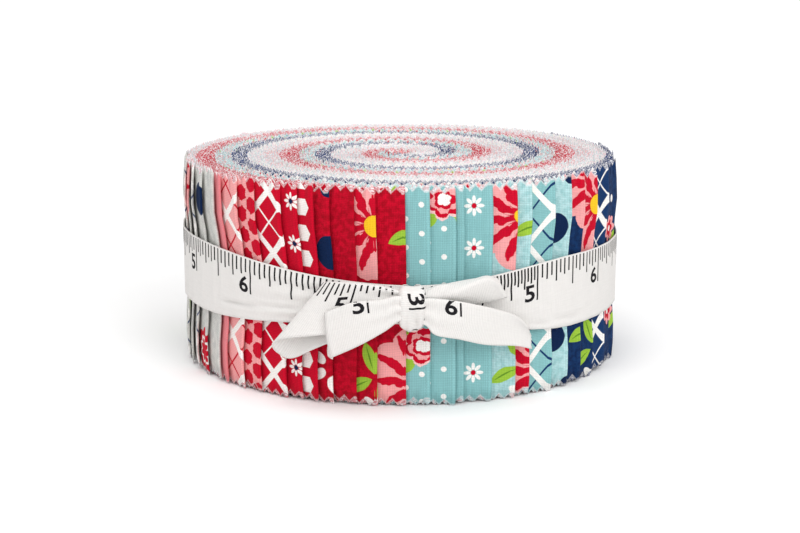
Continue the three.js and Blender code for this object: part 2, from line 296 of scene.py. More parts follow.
def make_strip(order, materials, shift):
    """One folded strip: its outer layer from the roll's middle outwards, its fold, and its inner layer."""
    rng = np.random.default_rng(STRIP_SEED + order)
    along, places, outward, squeeze = strip_path(order)
    share = rng.uniform(*FIRST_TOOTH)
    parity = int(rng.integers(2))
    swell = FOLD_SWELL * rng.uniform(*FOLD_VARIATION)
    length = along[-1]  # every strip is wound on to the middle, a little less or more than the cut length
    base = lift(order)
    sheet = Sheet()

    def at(distance):
        out = between(distance, along, outward)
        close = float(np.interp(distance, along, squeeze))
        return between(distance, along, places), out / np.hypot(*out), close

    def add(middle, normal, thick, cut, u, deep):
        rows = [cut, *(ROW_HEIGHTS if deep else []), STRIP_WIDTH - cut]
        face = middle + normal * thick / 2
        back = middle - normal * thick / 2
        uv = [(u, 0, cut), *[(u, row, row) for row in rows[1:-1]], (u, STRIP_WIDTH, STRIP_WIDTH - cut)]
        sheet.column([(*face, base + r) for r in rows], [(*back, base + r) for r in rows], uv)

    def layer(distance, side):
        spot, out, close = at(distance)
        parted = swell * math.exp(-((distance / FOLD_REACH) ** 2)) * (1 if side > 0 else FOLD_RISE)
        return spot + out * (side * LEAF_OFFSET * close + parted), out * side, CLOTH * close

    def wind(distances, side, first, start):
        for distance in distances:
            cut = tooth(distance, first, start)
            add(*layer(distance, side), cut, -side * distance, distance < DEEP_ROWS)

    wind(reversed(strip_distances(length, share)), 1, share, parity)
    top, foot = layer(0, 1)[0], layer(0, -1)[0]
    out = at(0)[1]
    forward = np.array([-out[1], out[0]])
    centre, radius = (top + foot) / 2, np.hypot(*(top - foot)) / 2
    for step in range(BEND_STEPS):
        turn = math.pi * (0.5 - (step + 0.5) / BEND_STEPS)
        normal = forward * math.cos(turn) + out * math.sin(turn)
        cut = TOOTH_DEPTH * (0.5 + 0.5 * math.sin(turn * (2 * parity - 1)))
        add(centre + normal * radius, normal, CLOTH, cut, -turn * BEND_CLOTH, True)
    wind(strip_distances(length, 1 - share), -1, 1 - share, 1 - parity)
    return sheet.build(f"strip_{order + 1:02d}", materials, shift, shaped)


# The tape


def curve(values, parts):
    """A smooth line through values, with parts steps between two of them."""
    values = np.asarray(values, float)
    ends = np.concatenate([2 * values[:1] - values[1:2], values, 2 * values[-1:] - values[-2:-1]])
    t = (np.arange(parts) / parts)[:, None]
    line = []
    for a, b, c, d in zip(ends, ends[1:], ends[2:], ends[3:]):
        line.append(((-t + 2 * t**2 - t**3) * a + (2 - 5 * t**2 + 3 * t**3) * b
                     + (t + 4 * t**2 - 3 * t**3) * c + (t**3 - t**2) * d) / 2)
    return np.concatenate([*line, values[-1:]])


def bow_place(place):
    x, z, out = place
    return [x, -math.sqrt((BOW_RADIUS + out) ** 2 - x * x), z]


class Tape:
    """A stretch of the tape: a grid of places along and across it, with its lengths and its printed side."""

    def __init__(self, places, reads_right):
        self.places = places  # along, across from the upper edge to the lower one, xyz
        self.reads_right = reads_right  # whether print reads forwards along the tape
        ahead = np.gradient(places, axis=0)
        down = np.gradient(places, axis=1)
        normals = np.cross(ahead, down) * (-1 if reads_right else 1)
        self.normals = normals / np.linalg.norm(normals, axis=2)[..., None]
        middle = places[:, places.shape[1] // 2]
        self.along = np.concatenate([[0], np.cumsum(np.linalg.norm(np.diff(middle, axis=0), axis=1))])
        steps = np.linalg.norm(np.diff(places, axis=1), axis=2)
        self.across = np.concatenate([np.zeros((len(places), 1)), np.cumsum(steps, axis=1)], axis=1)

    def raised(self, height):
        """The tape with each place moved out by height(along, across), its folds and creases."""
        heights = height(self.along[:, None] + 0 * self.across, self.across)
        return Tape(self.places + self.normals * heights[..., None], self.reads_right)

    def spot(self, along, across):
        """Places and printed side's directions at distances along and across the tape."""
        i = np.interp(along, self.along, np.arange(len(self.along)))
        low = np.clip(i.astype(int), 0, len(self.along) - 2)
        share = (i - low)[:, None]
        found = []
        for grid in (self.places, self.normals):
            ends = []
            for row in (low, low + 1):
                j = np.array([np.interp(a, self.across[r], np.arange(self.across.shape[1]))
                              for a, r in zip(across, row)])
                left = np.clip(j.astype(int), 0, self.across.shape[1] - 2)
                part = (j - left)[:, None]
                ends.append(grid[row, left] * (1 - part) + grid[row, left + 1] * part)
            found.append(ends[0] * (1 - share) + ends[1] * share)
        return found

    def build(self, name, material, ragged=0):
        """The closed sheet. ragged is how uneven its last, cut edge is."""
        sheet = Sheet()
        rng = np.random.default_rng(len(name))
        order = slice(None, None, -1) if self.reads_right else slice(None)
        for row in range(len(self.along)):
            places, normals = self.places[row][order], self.normals[row][order]
            if ragged and row == len(self.along) - 1:
                ahead = self.places[row] - self.places[row - 1]
                ahead = (ahead / np.linalg.norm(ahead, axis=1)[:, None])[order]
                places = places + ahead * rng.uniform(-ragged, ragged, (len(places), 1))
            across = self.across[row][order]
            uv = [(self.along[row], v, v) for v in across]
            half = normals * TAPE_CLOTH / 2
            sheet.column((places + half).tolist(), (places - half).tolist(), uv)
        return sheet.build(name, [material] * 3)


def tape_through(rows, reads_right, parts=8, across=8):
    """A stretch of tape through rows of places, from the upper edge to the lower one, each (x, z, out)."""
    edges = np.array([curve([bow_place(row[k]) for row in rows], parts) for k in range(len(rows[0]))])
    return Tape(np.array([curve(edges[:, n], across) for n in range(edges.shape[1])]), reads_right)


# Rows of the bow's lengths of tape, from inside the knot on. Each row is (x, z, out) at the upper edge, the
# middle and the lower edge, where out is how far it stands out from the roll.
LOOP_LEFT = [
    [(2.4, 33.6, 4.2), (2.4, 30.8, 4.4), (2.4, 28.6, 4.2)],
    [(-0.9, 35.4, 4), (-0.9, 31.3, 4.4), (-0.9, 27.2, 4)],
    [(-7, 36.8, 4.4), (-8.2, 30.6, 4.8), (-9, 24.6, 4.5)],
    [(-14, 37.2, 4.5), (-16.8, 29.4, 5), (-19.5, 22.6, 5.6)],
    [(-19.2, 37.2, 4.1), (-24.4, 28.2, 5.2), (-29, 21, 6.3)],
    [(-21, 36.9, 3.4), (-28, 27.6, 4.4), (-34.8, 19.4, 5.9)],
    [(-21.5, 36.5, 2.5), (-29, 26.9, 2.9), (-36.8, 17, 4.2)],
    [(-20.6, 36.1, 1.8), (-28, 25.4, 1.3), (-35.2, 14.8, 3.6)],
    [(-17, 36, 1.4), (-24.6, 24.8, 0.9), (-31, 13.8, 3.7)],
    [(-10, 35.8, 1.4), (-17, 26.4, 0.9), (-22.4, 18.2, 3.2)],
    [(-0.9, 34.8, 1.6), (-0.9, 31, 1.6), (-0.9, 27.2, 1.6)],
    [(2.4, 33.6, 1.8), (2.4, 30.8, 1.8), (2.4, 28.6, 1.8)],
]
LOOP_RIGHT = [
    [(4.6, 34, 2.4), (4.6, 32.8, 3), (4.6, 31.2, 2.4)],
    [(7.5, 34.7, 1.8), (7.5, 33.2, 3.2), (7.5, 31.6, 1.9)],
    [(11, 36.1, 1.8), (11.6, 33, 3.5), (12.2, 30.9, 1.9)],
    [(15.4, 36.5, 2.2), (16, 34.6, 4.9), (17, 30.5, 1.9)],
    [(20.2, 37.5, 2.6), (20.6, 36.3, 5), (22, 30.4, 1.9)],
    [(24.4, 38.3, 2.6), (25.2, 37.2, 4.4), (26.6, 30.9, 2)],
    [(27.2, 37.2, 1.9), (28.4, 35, 2.9), (29.8, 31.6, 2.1)],
    [(27, 37.1, 1.1), (28.4, 34.6, 1.1), (29.9, 31.4, 1.1)],
    [(22.5, 37.2, 0.7), (23.4, 34.4, 0.7), (24.2, 30.8, 0.7)],
    [(14, 36.2, 0.7), (14, 33.4, 0.7), (14, 30.4, 0.7)],
    [(4.6, 34.2, 0.9), (4.6, 32.8, 0.9), (4.6, 31, 0.9)],
]
TAIL_LEFT = [
    [(2.4, 33.4, 6), (2.4, 30.6, 6.2), (2.4, 28.2, 6)],
    [(-0.9, 34.2, 6.2), (-0.9, 30.5, 6.6), (-0.9, 26.8, 6.2)],
    [(-5.5, 33, 6.6), (-5.2, 28.8, 6.8), (-4.6, 24.1, 6.5)],
    [(-13.1, 32, 6.9), (-12.4, 26.3, 7), (-11.4, 20, 6.6)],
    [(-21.3, 28.5, 6.5), (-20.8, 22, 6.7), (-19.6, 15.7, 6.1)],
]
TAIL_RIGHT = [
    [(4.4, 32.4, 5.2), (4.4, 29.4, 5.4), (4.4, 26.8, 5.2)],
    [(7.5, 33, 5.2), (7.5, 29.3, 5.4), (7.5, 25.4, 5.1)],
    [(11.2, 32.8, 5.6), (11, 27.6, 5.6), (10, 22.7, 5.2)],
    [(17.7, 31.6, 5.8), (17.8, 26.2, 5.9), (16.6, 21.2, 5.3)],
    [(25.5, 29.2, 5), (25.2, 23.8, 5), (24.4, 18.8, 4.6)],
    [(32.8, 26, 4), (33.2, 21.6, 3.2), (33.1, 17.2, 3.6)],
    [(36.8, 22.2, 3.6), (37.8, 18.9, 2.4), (37.9, 15.4, 3)],
]

# Rows of the knot, from its foot up: height, left and right edges, and how far it stands out
KNOT_ROWS = [
    (23.6, 1.9, 4.6, 3.4),
    (25, 0.3, 6.1, 5.4),
    (27.4, -0.4, 6.8, 6.7),
    (30.4, -0.4, 7, 7.3),
    (33.2, -0.4, 7, 7.1),
    (35.3, -0.2, 6.8, 5.9),
    (36.5, 0.9, 5.6, 3.6),
]
KNOT_BACK = 1
KNOT_PARTS = 7
KNOT_BEARINGS = np.radians(np.linspace(158, -158, 61))  # round the knot, from its front
KNOT_SIDES, KNOT_FRONT = 0.75, 0.7  # powers that square its section
KNOT_PLEAT, KNOT_PLEATS, KNOT_PLEATS_START, KNOT_PLEATS_LEAN = 0.26, 2.1, 0.9, 0.6
KNOT_MIDDLE, KNOT_HALF = 30, 7
POCKET_X, POCKET_Z, POCKET_LEAN = 4.068, 27.2, 0.16
POCKET_WIDTH, POCKET_HEIGHT, POCKET_DEPTH = 1.15, 3, 1.1
# An edge that is turned under: the least turn, the most as a share of the width, its depth, and the turn at
# which it has its full depth
TURN_LEAST, TURN_MOST, TURN_DEPTH, TURN_FULL = 0.15, 0.8, 0.5, 0.6
TURN_ROWS = 7


def band_tape():
    """The tape round the roll, from the knot's right side round the back to its left side."""
    angles = BAND_ANGLES
    off = (angles - KNOT_ANGLE + 180) % 360 - 180
    reach = np.where(off < 0, LEFT_REACH, RIGHT_REACH)
    gathered = 1 - smooth(0, 1, np.abs(off) / reach)
    width = TAPE_WIDTH - (TAPE_WIDTH - KNOT_WIDTH) * gathered
    middle = BAND_MIDDLE - BAND_TILT * np.sin(np.radians(angles))
    across = np.linspace(0.5, -0.5, BAND_ROWS)
    z = middle[:, None] + width[:, None] * across[None, :]
    passed = strips_passed(angles) % 1
    sag = BAND_SAG * np.sin(np.pi * passed)[:, None] * (1 - gathered[:, None])
    waves = np.sin(across[None, :] * 2 * np.pi * BAND_PLEATS + BAND_PLEATS_START)
    pleats = gathered[:, None] ** 1.5 * BAND_PLEAT * waves
    signed = (angles + 180) % 360 - 180
    before, after = CREASE_FADE
    crease = np.zeros_like(z)
    for start, end, low, rise, deep in CREASES:
        near = smooth(start - before, start + after, signed) * smooth(end + after, end - before, signed)
        gap = z - (low + rise * (signed - start))[:, None]
        crease -= deep * near[:, None] * np.exp(-((gap / CREASE_WIDTH) ** 2))
        crease += deep / 2 * near[:, None] * np.exp(-(((gap + RIDGE_BELOW) / RIDGE_WIDTH) ** 2))
    radius = ROLL_RADIUS - BAND_INSET - sag + pleats + crease + BAND_RISE * gathered[:, None]
    turn = np.radians(angles)[:, None]
    return Tape(np.stack([radius * np.sin(turn), -radius * np.cos(turn), z], axis=2), True)


def knot_tape():
    """The wrap of the knot, which runs down over the front with both of its sides turned under."""
    side, front = np.sin(KNOT_BEARINGS), np.cos(KNOT_BEARINGS)
    showing = np.clip(front, 0, 1) ** 0.5
    places = []
    for z, left, right, out in curve(np.array(KNOT_ROWS)[::-1], KNOT_PARTS):
        x = (left + right) / 2 + (right - left) / 2 * np.sign(side) * np.abs(side) ** KNOT_SIDES
        depth = KNOT_BACK + (out - KNOT_BACK) * (1 + np.sign(front) * np.abs(front) ** KNOT_FRONT) / 2
        lean = KNOT_PLEATS_LEAN * (z - KNOT_MIDDLE) / KNOT_HALF
        pleat = KNOT_PLEAT * np.sin((x - lean) * KNOT_PLEATS + KNOT_PLEATS_START)
        off = (x - POCKET_X + POCKET_LEAN * (z - POCKET_Z)) / POCKET_WIDTH
        pocket = POCKET_DEPTH * np.exp(-(off**2) - ((z - POCKET_Z) / POCKET_HEIGHT) ** 2)
        depth = depth + (pleat - pocket) * showing
        places.append([bow_place(place) for place in zip(x, np.full_like(x, z), depth)])
    return Tape(np.array(places), True)


def turned_edge(places, normals, across, width):
    """Places of a turned-under edge of one row of tape, from the hidden end of the turn to its fold."""
    reach = min(max(width, TURN_LEAST), TURN_MOST * across[-1])
    deep = TURN_DEPTH * min(1, reach / TURN_FULL)
    turn = []
    for share in np.linspace(1, 0, TURN_ROWS):
        turn.append(between(reach * share, across, places) - between(reach * share, across, normals) * deep)
    up = (places[0] - places[1]) / np.linalg.norm(places[0] - places[1])
    return [*turn, places[0] + up * deep / 2 - normals[0] * deep / 2]


def turned_under(tape, upper, lower=None):
    """The tape with one or both edges turned under. upper, one value or one a row, and lower say how far."""
    rows = []
    uppers = np.broadcast_to(upper, len(tape.along))
    for places, normals, across, width in zip(tape.places, tape.normals, tape.across, uppers):
        first = turned_edge(places, normals, across, width)
        last = []
        if lower is not None:
            last = turned_edge(places[::-1], normals[::-1], across[-1] - across[::-1], lower)[::-1]
        rows.append([*first, *places, *last])
    return Tape(np.array(rows), tape.reads_right)


def ramp(tape, start, end, near, far):
    """A value for each row of a tape, near up to start and far beyond end."""
    return near + (far - near) * smooth(start, end, tape.along)


def gathers(reach, deep, waves, turn):
    """Soft pleats that fade out with the distance from the knot."""
    def height(along, across):
        share = across / across[:, -1:]
        return deep * np.exp(-((along / reach) ** 2)) * np.sin(share * 2 * np.pi * waves + turn)
    return height


# Measuring marks: one long mark to each unit, with its number, and shorter ones between
MARK_PITCH = 1.86
MARKS_A_UNIT = 16
MARK_WIDTH = 0.55
MARK_START = 0.4
MARK_STEP = 0.4
MARK_ENDS = {16: 10.6, 8: 8.7, 4: 6.5, 2: 5.2, 1: 4.4}
NUMBER_HEIGHT = 4.9
NUMBER_TOP = 5.7
NUMBER_GAP = 1  # from a number to its mark
NUMBER_STEP = 0.5  # between the cuts that let a number follow the tape
NUMBER_REACH = 12  # more than a number's width
NUMBER_BOLD = 0.022
NUMBER_STRETCH = 1.2
NUMBER_ROOM = (4, 1)  # the least tape before and after a number
INK = 0.035
MARKS_EACH_WAY = 400


class Ink:
    """Printed marks as one thin mesh that lies on a stretch of tape."""

    def __init__(self, tape):
        self.tape, self.points, self.faces = tape, [], []

    def lay(self, flat, faces):
        """Lays a shape on the tape. flat is along, across, and height over the printed side."""
        places, normals = self.tape.spot(flat[:, 0], flat[:, 1])
        start = len(self.points)
        self.points.extend((places + normals * (TAPE_CLOTH / 2 + flat[:, 2:])).tolist())
        self.faces.extend(tuple(start + n for n in face) for face in faces)

    def bar(self, along, top, bottom):
        """One mark, in short steps so that it follows the tape's folds."""
        steps = np.linspace(top, bottom, max(2, round((bottom - top) / MARK_STEP)))
        sides = ((-1, -INK), (-1, INK), (1, INK), (1, -INK))
        corners = [(along + side * MARK_WIDTH / 2, across, high) for across in steps for side, high in sides]
        faces = [(0, 1, 2, 3), tuple(len(corners) - n for n in (1, 2, 3, 4))]
        for row in range(0, len(corners) - 4, 4):
            faces += [(row + k, row + 4 + k, row + 4 + (k + 1) % 4, row + (k + 1) % 4) for k in range(4)]
        self.lay(np.array(corners), faces)

    def number(self, text, right):
        """A number whose right side is at a distance along the tape."""
        font = bpy.data.curves.new("number", "FONT")
        font.body, font.extrude, font.resolution_u, font.offset = text, 0.01, 3, NUMBER_BOLD
        letter = bpy.data.objects.new("number", font)
        mesh = bmesh.new()
        mesh.from_mesh(letter.to_mesh())
        letter.to_mesh_clear()
        bpy.data.objects.remove(letter)
        bmesh.ops.remove_doubles(mesh, verts=mesh.verts, dist=1e-5)
        reach = [max(v.co[k] for v in mesh.verts) for k in (0, 1)]
        size = NUMBER_HEIGHT / (reach[1] - min(v.co.y for v in mesh.verts))
        for axis, normal in enumerate(((1, 0, 0), (0, 1, 0))):
            for cut in np.arange(reach[axis], reach[axis] - NUMBER_REACH / size, -NUMBER_STEP / size):
                everything = [*mesh.verts, *mesh.edges, *mesh.faces]
                bmesh.ops.bisect_plane(mesh, geom=everything, plane_co=cut * Vector(normal), plane_no=normal)
        mesh.verts.index_update()
        flat = np.array([v.co for v in mesh.verts])
        faces = [tuple(v.index for v in face.verts) for face in mesh.faces]
        mesh.free()
        forward = 1 if self.tape.reads_right else -1
        x = (flat[:, 0] - reach[0]) * size * NUMBER_STRETCH
        y = (reach[1] - flat[:, 1]) * size
        self.lay(np.stack([right + forward * x, NUMBER_TOP + y, np.sign(flat[:, 2]) * INK], axis=1), faces)

    def ruler(self, unit_at, number, start, end, gathered=1):
        """Marks and numbers from start to end, with the mark of a number at unit_at.

        Before that mark, the tape is gathered to a share of its length.
        """
        forward = 1 if self.tape.reads_right else -1
        before, after = NUMBER_ROOM
        for n in range(-MARKS_EACH_WAY, MARKS_EACH_WAY):
            along = unit_at + forward * n * MARK_PITCH * (gathered if n < 0 else 1)
            if start < along < end:
                self.bar(along, MARK_START, MARK_ENDS[math.gcd(n, MARKS_A_UNIT)])
            shown = number + n // MARKS_A_UNIT
            if n % MARKS_A_UNIT == 0 and shown > 0 and start + before < along < end - after:
                self.number(str(shown), along - forward * NUMBER_GAP)

    def build(self, name, material):
        points = np.array(self.points, float)
        return make_mesh(name, points, self.faces, [material], [0] * len(self.faces), points)


# Colours, from 0 to 255 a channel as the photograph shows them


def colour(red, green, blue):
    shares = [channel / 255 for channel in (red, green, blue)]
    return (*[s / 12.92 if s <= 0.04045 else ((s + 0.055) / 1.055) ** 2.4 for s in shares], 1)


RED = colour(196, 6, 40)
DEEP_RED = colour(158, 3, 26)
PINK = colour(238, 162, 162)
PALE_PINK = colour(246, 196, 194)
DEEP_PINK = colour(218, 112, 122)
AQUA = colour(134, 186, 188)
PALE_AQUA = colour(178, 214, 216)
NAVY = colour(18, 52, 98)
DEEP_NAVY = colour(10, 34, 72)
GREY = colour(214, 213, 208)
DEEP_GREY = colour(178, 180, 178)
CREAM = colour(240, 236, 228)
WHITE = colour(244, 241, 237)
LIME = colour(152, 192, 62)
GREEN = colour(96, 142, 40)
YELLOW = colour(246, 196, 40)
FIBRE = colour(250, 248, 249)
TAPE_WHITE = colour(232, 229, 226)
INK_BLACK = colour(28, 26, 30)

THREAD = 0.5  # one thread of the cotton's weave
RIB = 0.52  # one crosswise rib of the tape
TRELLIS = 12.7  # from bar to bar of the trellis prints
SOFT = 0.14  # how far a printed edge blurs


# Fields: numbers that vary over a surface, worked out by a material's nodes


class Field:
    """A socket that arithmetic can be done with."""

    def __init__(self, socket):
        self.socket = socket

    def __add__(self, other):
        return maths("ADD", self, other)

    def __sub__(self, other):
        return maths("SUBTRACT", self, other)

    def __rsub__(self, other):
        return maths("SUBTRACT", other, self)

    def __mul__(self, other):
        return maths("MULTIPLY", self, other)

    def __truediv__(self, other):
        return maths("DIVIDE", self, other)

    def __mod__(self, other):
        return maths("FLOORED_MODULO", self, other)

    def __abs__(self):
        return maths("ABSOLUTE", self)


def feed(node, values):
    """Gives a node's inputs, by name or number, their values: fields, sockets, plain numbers or colours."""
    for key, value in values.items():
        if isinstance(value, Field):
            value = value.socket
        if isinstance(value, bpy.types.NodeSocket):
            node.id_data.links.new(value, node.inputs[key])
        else:
            node.inputs[key].default_value = value


def maths(operation, *values, clamp=False):
    tree = next(value.socket.id_data for value in values if isinstance(value, Field))
    node = tree.nodes.new("ShaderNodeMath")
    node.operation, node.use_clamp = operation, clamp
    feed(node, dict(enumerate(values)))
    return Field(node.outputs[0])


floor = partial(maths, "FLOOR")
root = partial(maths, "SQRT")
sine = partial(maths, "SINE")
cosine = partial(maths, "COSINE")
least = partial(maths, "MINIMUM")
most = partial(maths, "MAXIMUM")


def inside(distance, soft=SOFT):
    """1 where a distance to an edge is negative, 0 where it is positive, and a soft step between."""
    return maths("MULTIPLY_ADD", distance, -1 / soft, 0.5, clamp=True)


def joined(x, y, z):
    node = x.socket.id_data.nodes.new("ShaderNodeCombineXYZ")
    feed(node, {0: x, 1: y, 2: z})
    return node.outputs[0]


def cells(u, v, wide, high, shifted=0.5):
    """Places from the middle of each cell of a repeat, whose odd rows are shifted."""
    row = floor(v / high + 0.5)
    along = u / wide + (row % 2) * shifted + 0.5
    return (along - floor(along) - 0.5) * wide, v - row * high


def turned(x, y, angle):
    c, s = math.cos(angle), math.sin(angle)
    return x * c + y * s, y * c - x * s


# Motifs: distances to the edge of a shape, in millimetres, negative inside


def disc(x, y, radius):
    return root(x * x + y * y) - radius


def flower(x, y, radius, count, waist=0.55, turn=0):
    bearing = maths("ARCTAN2", y, x) * (count / 2) + turn
    return root(x * x + y * y) - (abs(cosine(bearing)) * (1 - waist) + waist) * radius


def petals(x, y, inner, outer, width, count, turn=0):
    """A ring of separate petals round a centre."""
    step = 2 * math.pi / count
    off = ((maths("ARCTAN2", y, x) + turn) / step + 0.5) % 1 - 0.5
    reach = root(x * x + y * y)
    along = (reach - (inner + outer) / 2) * (width / (outer - inner))
    side = sine(off * step) * reach
    return root(along * along + side * side) - width / 2


def leaf(x, y, length, width):
    share = x * (2 / length)
    return most(abs(y) - (1 - share * share) * (width / 2), abs(x) - length / 2)


def hexagon(x, y, radius):
    x, y = abs(x), abs(y)
    return most(x, x * 0.5 + y * 0.866) - radius


def lines(value, pitch, width):
    return abs((value / pitch + 0.5) % 1 - 0.5) * pitch - width / 2


def trellis(u, v, pitch, width, offset=0):
    lean = 0.7071
    one = lines((u + v) * lean + offset, pitch, width)
    other = lines((u - v) * lean + offset, pitch, width)
    return least(one, other)


# Cloths

MIX_COLOUR_INPUTS = (0, 6, 7)  # factor and the two colours, among the mix node's sockets for every kind
MIX_COLOUR_OUTPUT = 2


class Cloth:
    """A material while it is made: a point's place on the cloth and in the print, and the colour so far."""

    def __init__(self, name, ground):
        self.material = bpy.data.materials.new(name)
        self.material.use_nodes = True
        self.tree = self.material.node_tree
        self.shader = self.tree.nodes["Principled BSDF"]
        self.u, self.v = self.place("print")
        self.along, self.up = self.place("cloth")
        self.colour = ground

    def place(self, layer):
        uv = self.tree.nodes.new("ShaderNodeUVMap")
        uv.uv_map = layer
        split = self.tree.nodes.new("ShaderNodeSeparateXYZ")
        feed(split, {0: uv.outputs["UV"]})
        return Field(split.outputs["X"]), Field(split.outputs["Y"])

    def noise(self, size, seed, detail=2):
        """Smooth noise about 0.5. size is one size, or a pair along and across."""
        wide, high = size if isinstance(size, tuple) else (size, size)
        node = self.tree.nodes.new("ShaderNodeTexNoise")
        feed(node, {"Scale": 1, "Detail": detail, "Vector": joined(self.u / wide, self.v / high, seed)})
        return Field(node.outputs["Fac"])

    def mix(self, kind, factor, other):
        node = self.tree.nodes.new("ShaderNodeMix")
        node.data_type, node.blend_type = "RGBA", kind
        feed(node, dict(zip(MIX_COLOUR_INPUTS, (factor, self.colour, other))))
        self.colour = node.outputs[MIX_COLOUR_OUTPUT]

    def paint(self, mask, shade):
        self.mix("MIX", mask, shade)

    def stamp(self, distance, shade):
        """Prints a shape, given the distance to its edge."""
        self.paint(inside(distance), shade)

    def tone(self, brightness):
        self.mix("MULTIPLY", 1, joined(brightness, brightness, brightness))

    def finish(self, height, relief, roughness, sheen):
        bump = self.tree.nodes.new("ShaderNodeBump")
        feed(bump, {"Strength": 1, "Distance": relief * MM, "Height": height})
        feed(self.shader, {
            "Normal": bump.outputs["Normal"], "Base Color": self.colour, "Roughness": roughness,
            "Specular IOR Level": 0.12, "Sheen Weight": sheen, "Sheen Roughness": 0.4,
        })
        return self.material


def weave(x, y, thread):
    """A plain weave's height, from 0 to 1."""
    across, up = x / thread, y / thread
    over = (floor(across) + floor(up)) % 2
    one, other = sine(across % 1 * math.pi), sine(up % 1 * math.pi)
    warp = one * (other * 0.35 + 0.65)
    weft = other * (one * 0.35 + 0.65)
    return warp * over + weft * (1 - over)


def finish_cotton(cloth):
    height = weave(cloth.u, cloth.v, THREAD)
    streaks = cloth.noise((0.5, 12), 3) + cloth.noise((12, 0.5), 7)
    blotches = cloth.noise(3, 11)
    # The weave's height darkens its low places, which is painted shade between the threads; the streaks and
    # blotches are the cloth's own uneven tone.
    cloth.tone(height * 0.34 + streaks * 0.2 + blotches * 0.1 + 0.62)
    rim = least(cloth.up, STRIP_WIDTH - cloth.up)
    frayed = inside(rim - cloth.noise((0.4, 1.5), 5) * 0.9, 0.5)
    cloth.paint(frayed * 0.55, FIBRE)
    return cloth.finish(height, relief=0.07, roughness=0.9, sheen=0.03)


def mottled(cloth, shade, share=0.85):
    patches = inside(0.5 - cloth.noise(1.6, 4, 4), 0.2)
    cloth.paint(patches * share, shade)


def blooms(cloth):
    """Large open flowers, and between them leaves and a small flower."""
    u, v = cloth.u, cloth.v
    x, y = cells(u, v, 60, 44)
    wobble = cloth.noise(2.2, 9, 1) * 1.6 - 0.8
    cloth.stamp(flower(x, y, 16, 7, 0.85) + wobble, PINK)
    cloth.stamp(petals(x, y, 5, 14, 2.5, 11, 0.2) + wobble * 0.8, RED)
    cloth.stamp(flower(x, y, 8, 11, 0.5, 0.2) + wobble * 0.7, RED)
    cloth.stamp(petals(x, y, 3.4, 6.6, 0.6, 11, 0.45) + wobble * 0.3, PINK)
    cloth.stamp(disc(x, y, 3.1) + wobble * 0.3, YELLOW)
    x, y = cells(u + 30, v, 60, 44)
    for turn in (0.6, 1.9, 3.6, 5):
        a, b = turned(x, y, turn)
        cloth.stamp(leaf(a - 6, b, 9.5, 4) + wobble * 0.2, LIME)
        cloth.stamp(leaf(a - 6, b, 7, 0.5), GREEN)
    cloth.stamp(petals(x, y + 9, 0.8, 4.4, 2.4, 5) + wobble * 0.2, WHITE)
    cloth.stamp(disc(x, y + 9, 1.3), RED)


def trellised(cloth, thin, width):
    """A trellis of wide white bars, with thin lines midway between them."""
    cloth.stamp(trellis(cloth.u, cloth.v, TRELLIS, width, TRELLIS / 2), thin)
    cloth.stamp(trellis(cloth.u, cloth.v, TRELLIS, 1.8), WHITE)


def daisies(cloth, centre, radius):
    x, y = cells(cloth.u, cloth.v, 17, 6.1)
    cloth.stamp(petals(x, y, 0.8, radius, radius * 0.36, 8), WHITE)
    cloth.stamp(disc(x, y, 0.75), centre)


def grey_plain(cloth):
    cloth.paint(inside(0.5 - cloth.noise(2.4, 2), 0.25) * 0.5, DEEP_GREY)


def grey_blooms(cloth):
    grey_plain(cloth)
    blooms(cloth)


def grey_lines(cloth):
    cloth.stamp(trellis(cloth.u, cloth.v, TRELLIS, 0.5), NAVY)
    cloth.stamp(trellis(cloth.u, cloth.v, TRELLIS, 1.6, TRELLIS / 2), WHITE)


def grey_spots(cloth):
    grey_plain(cloth)
    x, y = cells(cloth.u, cloth.v, 20, 64)
    cloth.stamp(disc(x, y, 5), DEEP_NAVY)
    x, y = cells(cloth.u, cloth.v + 47, 20, 64)
    cloth.stamp(flower(x, y, 7.4, 8, 0.8), RED)
    cloth.stamp(abs(flower(x, y, 4.4, 9, 0.7)) - 0.5, WHITE)


def pink_plain(cloth):
    cloth.paint(0.7, DEEP_PINK)


def pink_lattice(cloth):
    trellised(cloth, RED, 0.6)


def pink_hexes(cloth):
    ripple = cloth.noise(1.1, 6) * 1.4 - 0.7
    one = hexagon(*cells(cloth.u, cloth.v, 9.4, 6.15, 0), 2.15)
    other = hexagon(*cells(cloth.u + 4.7, cloth.v + 3.07, 9.4, 6.15, 0), 2.15)
    cloth.stamp(least(one, other) + ripple, RED)


def red_lattice(cloth):
    trellised(cloth, WHITE, 0.5)


def red_daisies(cloth):
    daisies(cloth, DEEP_NAVY, 2.6)


def red_hexes(cloth):
    x, y = cells(cloth.u, cloth.v, 8, 7.45, 0)
    cloth.stamp(hexagon(y, x, 2.35), WHITE)


def red_spots(cloth):
    mottled(cloth, DEEP_RED)
    x, y = cells(cloth.u, cloth.v, 16, 64)
    cloth.stamp(disc(x, y, 5), DEEP_NAVY)
    cloth.stamp(disc(x, y - 18.3, 2.5), DEEP_NAVY)
    x, y = cells(cloth.u, cloth.v + 33.5, 16, 64)
    cloth.stamp(petals(x, y, 2.4, 7.8, 3, 6, 0.5), WHITE)


def red_mottled(cloth):
    mottled(cloth, DEEP_RED)


def red_blooms(cloth):
    mottled(cloth, DEEP_RED)
    blooms(cloth)


def aqua_dots(cloth):
    x, y = cells(cloth.u, cloth.v, 9, 4.1)
    cloth.stamp(disc(x, y, 0.8), WHITE)


